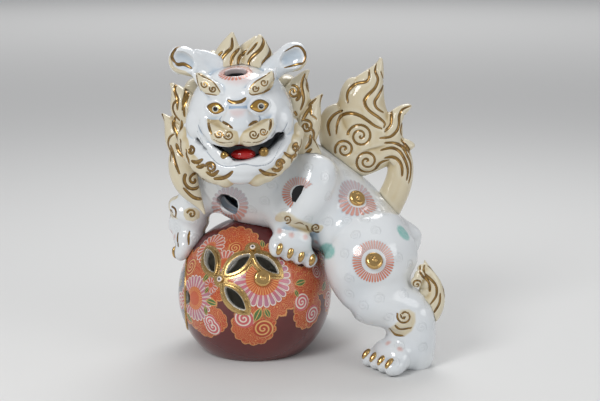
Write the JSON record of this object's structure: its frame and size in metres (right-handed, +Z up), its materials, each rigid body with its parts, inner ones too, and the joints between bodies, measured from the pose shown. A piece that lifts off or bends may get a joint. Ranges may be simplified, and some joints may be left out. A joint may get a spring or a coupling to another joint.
{
  "type": "guardian lion figurine",
  "caption": "Glazed porcelain guardian lion standing with both forepaws and its chest on a pierced ball, head turned to the side, flame tail raised.",
  "frame": {"origin": "centre of the ball's flat foot, on the surface that the figure stands on", "axes": "+Z up; the face looks along -Y; the tail and hind legs lie towards +X"},
  "size_m": [0.2675, 0.2339, 0.3121],
  "materials": {
    "white_porcelain": "clear gloss glaze on a cool white body",
    "cream_porcelain": "cream gloss glaze, moulded strands picked out in gilt",
    "gilding": "fired gold over glaze, satin",
    "ball_enamel": "dark red overglaze enamel with painted scrolls and flowers, gloss",
    "red_enamel": "red overglaze enamel, gloss",
    "black_enamel": "black overglaze enamel, gloss"
  },
  "bodies": {
    "root": {"ball_boss": "gilding", "ball_hub_studs": "gilding", "ball_leaf_rims": "gilding", "ball_shell": "ball_enamel", "crest": "cream_porcelain", "eyes": "gilding", "fangs": "gilding", "head_shell": "white_porcelain", "left_beard": "cream_porcelain", "left_brow": "cream_porcelain", "left_ear": "white_porcelain", "left_flank_boss": "gilding", "left_fore_claws": "gilding", "left_foreleg": "white_porcelain", "left_forepaw": "white_porcelain", "left_hind_claws": "gilding", "left_hind_leg": "white_porcelain", "left_hind_paw": "white_porcelain", "left_hock_tuft": "cream_porcelain", "left_moustache": "cream_porcelain", "left_shin_curl": "cream_porcelain", "left_thigh_boss": "gilding", "left_wrist_tuft": "cream_porcelain", "lower_jaw": "white_porcelain", "mane_back_locks": "cream_porcelain", "mane_left_locks": "cream_porcelain", "mane_right_locks": "cream_porcelain", "mane_ruff": "cream_porcelain", "nose": "white_porcelain", "pupils": "black_enamel", "right_beard": "cream_porcelain", "right_brow": "cream_porcelain", "right_ear": "white_porcelain", "right_flank_boss": "gilding", "right_fore_claws": "gilding", "right_foreleg": "white_porcelain", "right_forepaw": "white_porcelain", "right_hind_claws": "gilding", "right_hind_leg": "white_porcelain", "right_hind_paw": "white_porcelain", "right_hock_tuft": "cream_porcelain", "right_moustache": "cream_porcelain", "right_shin_curl": "cream_porcelain", "right_thigh_boss": "gilding", "right_wrist_tuft": "cream_porcelain", "tail_plume": "cream_porcelain", "tongue": "red_enamel", "torso_shell": "white_porcelain"}
  },
  "joints": []
}
